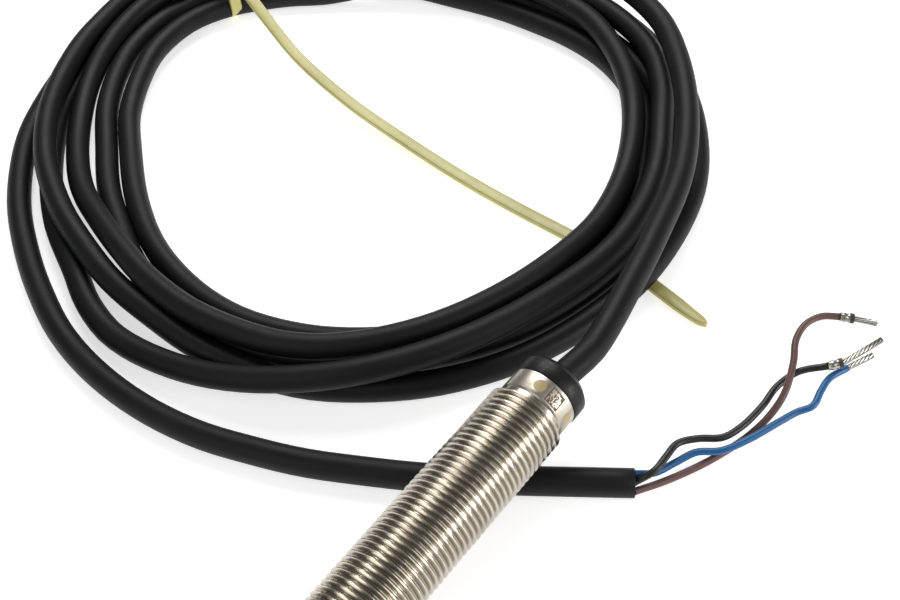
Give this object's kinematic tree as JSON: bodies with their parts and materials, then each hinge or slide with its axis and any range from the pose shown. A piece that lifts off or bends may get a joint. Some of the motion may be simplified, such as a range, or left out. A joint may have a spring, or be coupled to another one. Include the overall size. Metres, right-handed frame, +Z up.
{
  "type": "inductive proximity sensor",
  "caption": "Threaded metal-barrel inductive proximity sensor with clamping nuts and a coiled, tied cable ending in stripped conductors.",
  "frame": {"origin": "centre of the underside of the sensor's own box, without its cable, on the surface it lies on", "axes": "+Y runs from the sensing face towards the cable end, in the barrel's upright plane; +Z is up; the barrel slopes nose down by 2.2 degrees"},
  "size_m": [0.1709, 0.1609, 0.0175],
  "materials": {
    "nickel_barrel": "bright nickel plating over turned brass, fine lathe marks on the thread flanks",
    "face_plastic": "black moulded plastic, slightly satin",
    "ferrite": "dark grey sintered ferrite",
    "bobbin_plastic": "ivory moulded plastic",
    "copper_wire": "enamelled copper winding",
    "carrier_plastic": "grey moulded plastic",
    "seal_rubber": "black sealing rubber",
    "circuit_board": "green glass-epoxy board",
    "chip_plastic": "black moulded component body",
    "capacitor_body": "tan ceramic",
    "resistor_body": "black film resistor",
    "led_lens": "clear amber lens",
    "lead_insulation": "thin coloured insulation",
    "resin": "dark cast resin",
    "window_plastic": "yellowish translucent plastic, slightly clouded",
    "cap_plastic": "black moulded plastic, fine satin",
    "grommet_rubber": "black rubber",
    "nut_metal": "nickel-plated brass, satin faces",
    "washer_metal": "zinc-plated spring steel",
    "cable_jacket": "black matt jacket with faint scuffs and specks of dust",
    "insulation_blue": "blue insulation, slightly satin",
    "insulation_black": "black insulation, slightly satin",
    "insulation_brown": "brown insulation, slightly satin",
    "ferrule_metal": "crimped tinned sleeve",
    "tinned_strands": "twisted tinned copper strands",
    "tie_nylon": "aged yellowish nylon"
  },
  "bodies": {
    "sensor": {"barrel": "nickel_barrel", "sensing_face": "face_plastic", "ferrite_core": "ferrite", "coil_bobbin": "bobbin_plastic", "coil_winding": "copper_wire", "core_carrier": "carrier_plastic", "face_seal": "seal_rubber", "circuit_board": "circuit_board", "sensor_ic": "chip_plastic", "output_transistor": "chip_plastic", "protection_diode": "chip_plastic", "capacitors": "capacitor_body", "resistors": "resistor_body", "status_leds": "led_lens", "board_leads": "lead_insulation", "potting_resin": "resin", "light_guide": "window_plastic", "cap_gasket": "seal_rubber", "end_cap": "cap_plastic", "cable_grommet": "grommet_rubber", "cable_lead": "cable_jacket", "cable_coil": "cable_jacket", "cable_tail": "cable_jacket", "wire_blue": "insulation_blue", "wire_black": "insulation_black", "wire_brown": "insulation_brown", "ferrule_black": "ferrule_metal", "ferrule_brown": "ferrule_metal", "strands_blue": "tinned_strands", "strands_black": "tinned_strands", "strands_brown": "tinned_strands", "tie_head": "tie_nylon", "tie_loop": "tie_nylon", "tie_tail": "tie_nylon"},
    "front_washer": {"front_washer": "washer_metal"},
    "front_nut": {"front_nut": "nut_metal"},
    "rear_washer": {"rear_washer": "washer_metal"},
    "rear_nut": {"rear_nut": "nut_metal"}
  },
  "joints": [
    {"name": "front_nut_travel", "type": "slide", "parent": "sensor", "child": "front_washer", "axis": [0, 0.9993, 0.0384], "range_m": [-0.001, 0.001]},
    {"name": "front_nut_turn", "type": "hinge", "parent": "front_washer", "child": "front_nut", "pos_m": [0, -0.02896, 0.00857], "axis": [0, 0.9993, 0.0384], "range_deg": [-360, 360]},
    {"name": "rear_nut_travel", "type": "slide", "parent": "sensor", "child": "rear_washer", "axis": [0, 0.9993, 0.0384], "range_m": [-0.001, 0.029]},
    {"name": "rear_nut_turn", "type": "hinge", "parent": "rear_washer", "child": "rear_nut", "pos_m": [0, -0.02082, 0.00888], "axis": [0, 0.9993, 0.0384], "range_deg": [-360, 10440]}
  ],
  "couplings": [
    {"joint": "front_nut_travel", "follows": "front_nut_turn", "m_per_rad": 0.00015915},
    {"joint": "rear_nut_travel", "follows": "rear_nut_turn", "m_per_rad": 0.00015915}
  ]
}
